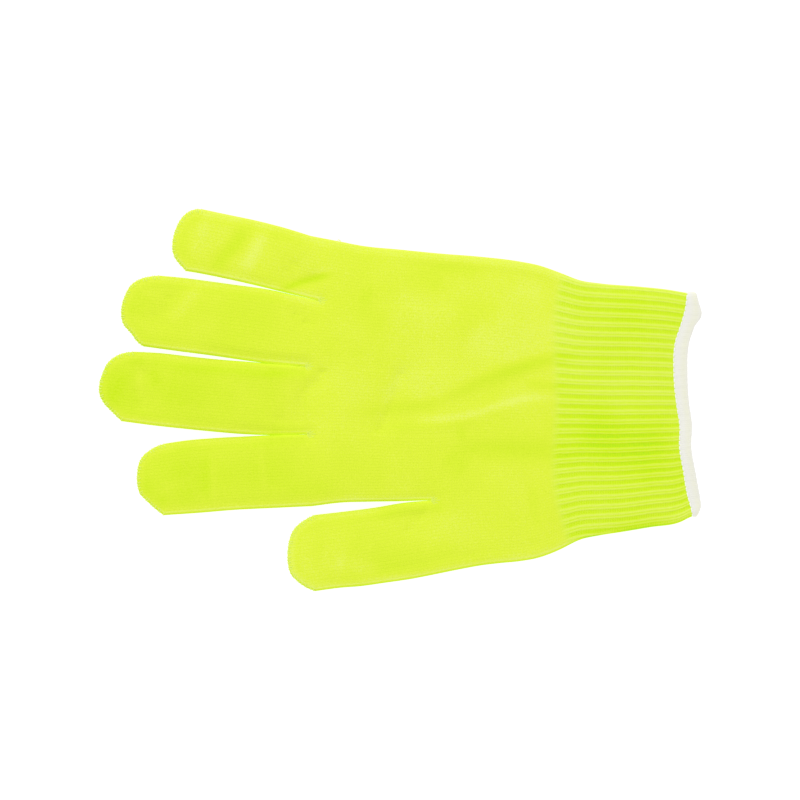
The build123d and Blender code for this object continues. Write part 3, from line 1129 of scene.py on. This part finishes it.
def full_ring(top_row, under_row):
    """Point numbers once round the cuff, and which of them are on the top layer."""
    back = under_row[-2:0:-1]
    return np.concatenate([top_row, back]), np.arange(len(top_row) + len(back)) < len(top_row)


mouth_ring, on_top = full_ring(cuff_top[-1], cuff_under[-1])
mouth_middle = (outer[mouth_ring] + inner_points[mouth_ring]) / 2
mouth_x, _, mouth_z = mouth_middle.T
facing = unit(normal[mouth_ring] * np.array([1, 0, 1]))
hem_inner = np.where(on_top, hermite(MOUTH_TOP, mouth_x), hermite(MOUTH_UNDER, mouth_x))
hem_outer = np.where(on_top, hermite(HEM_TOP, mouth_x), hermite(HEM_UNDER, mouth_x))
mouth_data = np.column_stack([mouth_x, mouth_z, facing[:, 0], facing[:, 2], hem_inner, hem_outer])
mouth_data = np.concatenate([mouth_data, mouth_data[:1]])
mouth_run = run_along(mouth_data[:, :2])
mouth_length = mouth_run[-1]


def hem_ring(places, blur):
    """Centre x and z, facing x and z, start y and end y at some places round the mouth."""
    at = np.arange(places) * mouth_length / places
    spread = np.linspace(-blur, blur, 9)
    ring = np.zeros((places, mouth_data.shape[1]))
    for i, values in enumerate(mouth_data.T):
        ring[:, i] = sum(np.interp((at + d) % mouth_length, mouth_run, values) for d in spread) / len(spread)
    ring[:, 2:4] = unit(ring[:, 2:4])
    ring[:, 1] = np.maximum(ring[:, 1], HEM_HALF + 0.15)
    return ring


def flattened(value, power):
    return np.sign(value) * np.abs(value) ** power


def hem_surface(ring, angle, lift):
    """Points of the hem's surface: angle 0 at its outer edge, a quarter turn on its outward face."""
    x, z, facing_x, facing_z, inner, edge = ring.T
    inner = inner - 0.1
    along = flattened(math.cos(angle), FLATTENED)
    thick = HEM_HALF * (1 - 0.12 * along) * flattened(math.sin(angle), 0.72) + lift * math.sin(angle)
    y = (inner + edge) / 2 - along * (inner - edge) / 2 - lift * math.cos(angle)
    return np.column_stack([x + facing_x * thick, y, z + facing_z * thick])


def hem_mesh():
    around = int(round(mouth_length / STITCH)) * PER_STITCH
    ring = hem_ring(around, 1.0)
    stitch = np.arange(around) / PER_STITCH
    rows, insets, faces = [], [], []
    for k in range(ROUND):
        angle = 2 * math.pi * k / ROUND
        # Each thread wraps over the edge, leaning a little
        turn = (stitch + 0.45 * math.cos(angle)) * 2 * math.pi
        ripple = 0.10 * (np.abs(np.cos(turn / 2)) - 0.5) + 0.03 * np.sin(turn * 0.37 + 1.0)
        rows.append(hem_surface(ring, angle, ripple))
        insets.append(np.full(around, 0.5 - 0.5 * flattened(math.cos(angle), FLATTENED)))
        a = k * around + np.arange(around)
        b = (k + 1) % ROUND * around + np.arange(around)
        faces += zip(a, b, np.roll(b, -1), np.roll(a, -1))
    obj = mesh_object("cuff_hem", above_table(np.concatenate(rows)), faces, hem_thread)
    set_attribute(obj.data, "inset", np.concatenate(insets))
    set_attribute(obj.data, "stitch", np.abs(np.tile(stitch, ROUND) % 1 * 2 - 1))
    return obj


hem = hem_mesh()
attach(hem, "cuff")
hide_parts("cuff_overlock_hem")

DASH, DASH_STEP = 1.55, 2.15
PER_DASH = 24  # places round the mouth for each dash and the gap after it
DASH_ANGLE = 2.62  # on the hem's outward face, close to the ribs


def needle_dashes():
    """The needle's thread shows as a line of dashes where the hem meets the ribs."""
    dashes = int(round(mouth_length / DASH_STEP))
    ring = hem_ring(dashes * PER_DASH, 0.8)
    line = hem_surface(ring, DASH_ANGLE, 0.10)
    paths = []
    for i in range(dashes):
        at = (i * PER_DASH + np.arange(0, int(PER_DASH * DASH / DASH_STEP) + 1, 3)) % len(line)
        bow = 0.12 * np.sin(np.linspace(0, math.pi, len(at)))[:, None]
        outward = np.column_stack([ring[at, 2], np.zeros(len(at)), ring[at, 3]])
        paths.append(line[at] + bow * outward)
    return paths


needle = threads("cuff_hem_needle_thread", needle_dashes(), 0.27, needle_thread)
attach(needle, "cuff")

# ---------------------------------------------------------------- elastic threads inside the cuff
ELASTICS = 12


def elastic_rings():
    """Rings just inside the cuff's fabric, spread over the length of their part in the CAD."""
    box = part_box("cuff_elastic_threads")
    middle_y = outer[[row[TOTAL // 2] for row in cuff_top], 1]
    paths = []
    for y in np.linspace(box[1][1] / MM - 0.5, box[0][1] / MM + 0.5, ELASTICS):
        j = int(np.argmin(np.abs(middle_y - y)))
        ring, _ = full_ring(cuff_top[j], cuff_under[j])
        paths.append((inner_points[ring] - normal[ring] * 0.10)[::2])
    return paths


elastic = threads("cuff_elastic", elastic_rings(), 0.24, elastic_thread, sides=5, closed=True)
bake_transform(elastic)
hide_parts("cuff_elastic_threads")


# ---------------------------------------------------------------- closing seams and crotch stitches
def surface_point(points, layer, lift):
    """Points lifted off the fabric: layer 1 top, -1 under, 0 on the fold."""
    above, below, _, fold, _ = heights(points, np.zeros(len(points)))
    low = np.maximum(below - lift, 0.26)
    return np.column_stack([points, np.where(layer > 0, above + lift, np.where(layer < 0, low, fold))])


SEAM_STEP = 1.35  # between the stitches over a fingertip
SEAM_DEPTH = 1.25  # of each of them, in from the edge
SEAM_LEAN = 0.5
# One stitch from the top layer round the edge to the under layer: how far in, as a part of its depth
WRAP = np.array([1.0, 0.62, 0.26, 0.04, -0.06, 0.04, 0.26, 0.62, 1.0])
WRAP_LAYER = np.array([1, 1, 1, 1, 0, -1, -1, -1, -1])


def edge_stitches(line, inward):
    """Short stitches over a folded edge, one at each step along it."""
    run = run_along(line)
    shift = SEAM_LEAN * np.linspace(-0.5, 0.5, len(WRAP))
    flat = []
    for i, at in enumerate(np.arange(SEAM_STEP * 0.5, run[-1], SEAM_STEP)):
        at = at + 0.22 * SEAM_STEP * math.sin(i * 2.4) + shift
        depth = SEAM_DEPTH * (1 + 0.22 * math.sin(i * 1.7 + 0.6)) * WRAP
        spot, into = (np.column_stack([np.interp(at, run, v) for v in values.T]) for values in (line, inward))
        flat.append(spot + into * depth[:, None])
    points = surface_point(np.concatenate(flat), np.tile(WRAP_LAYER, len(flat)), 0.05)
    return np.split(points, len(flat))


def yarn_end(at, heading, length, curl):
    """A short loose end of yarn standing out from the edge, from an (x, y) point."""
    t = np.linspace(0, 1, 7)
    angle = math.radians(heading) + curl * t
    run = np.cumsum(np.column_stack([np.cos(angle), np.sin(angle)]) * length / 6, axis=0)
    flat = np.array(at) + run - run[0]
    return np.column_stack([flat, 2.6 + 0.5 * np.sin(t * math.pi)])


for name in names:
    tip = through(STALLS[name]["tip"], 240)
    edge = on_stall(name, tip[:, 1], tip[:, 0])
    forward = unit(np.gradient(edge, axis=0))
    inward = np.column_stack([-forward[:, 1], forward[:, 0]])
    inward *= np.sign(np.sum((edge.mean(axis=0) - edge) * inward, axis=1))[:, None]
    stitches = edge_stitches(edge, inward)
    if name == "middle":
        stitches.append(yarn_end(on_stall(name, 68.5, 14.4), 20.0, 1.7, 2.6))
    seam = threads(f"{name}_tip_stitches", stitches, 0.24, closing_thread)
    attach(seam, f"{name}_tip")
    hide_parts(f"{name}_closing_seam")

# Where two stalls part, a few threads fan out into the palm: direction in degrees, length
FAN = [(-132, 2.2), (-110, 3.2), (-88, 3.8), (-68, 3.0), (-46, 2.4)]
for name, (x, y, _) in CROTCHES.items():
    paths = []
    for heading, length in FAN:
        angle = math.radians(heading)
        flat = np.array((x, y)) + np.outer(np.linspace(0.5, length, 7), (math.cos(angle), math.sin(angle)))
        paths += [surface_point(flat, np.full(7, layer), 0.0) for layer in (1, -1)]
    if name == "pinky_ring":
        paths.append(yarn_end((65.4, 25.0), 25.0, 1.3, 1.4))
    knot = threads(f"crotch_{name}", paths, 0.17, closing_thread)
    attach(knot, "palm")
    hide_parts(f"crotch_stitches_{name}")

# ---------------------------------------------------------------- floor and light
FLOOR_HALF = 3000.0
FLOOR_HEIGHT = -0.2
WHITE = (1.0, 1.0, 1.0, 1.0)
floor_material, floor_tree, floor_shader = new_material("floor")
set_inputs(floor_tree, floor_shader, {
    "Base Color": (0.4, 0.4, 0.4, 1.0), "Roughness": 0.9, "Specular IOR Level": 0.0,
    "Emission Color": WHITE, "Emission Strength": 0.83,
})
floor_corners = [(-1, -1), (1, -1), (1, 1), (-1, 1)]
floor_points = [(i * FLOOR_HALF, j * FLOOR_HALF, FLOOR_HEIGHT) for i, j in floor_corners]
floor = mesh_object("floor", floor_points, [(0, 1, 2, 3)], floor_material)

world = bpy.data.worlds.new("studio")
bpy.context.scene.world = world
world.use_nodes = True
background = world.node_tree.nodes["Background"]
background.inputs[0].default_value = WHITE
background.inputs[1].default_value = 0.92


def area_light(name, location, size, power):
    """A soft square light aimed at the glove; its location and size are in metres."""
    data = bpy.data.lights.new(name, "AREA")
    data.shape = "SQUARE"
    data.size = size
    data.energy = power
    obj = add_object(name, data)
    obj.location = location
    obj.rotation_euler = (-Vector(location)).to_track_quat("-Z", "Y").to_euler()


area_light("key", (1.5, 0.6, 1.2), 1.2, 11.0)
area_light("fill", (-1.2, -0.6, 1.6), 1.6, 3.0)

view = bpy.context.scene.view_settings
view.view_transform = "Standard"
view.look = "None"
view.exposure = 0.0
view.gamma = 1.0
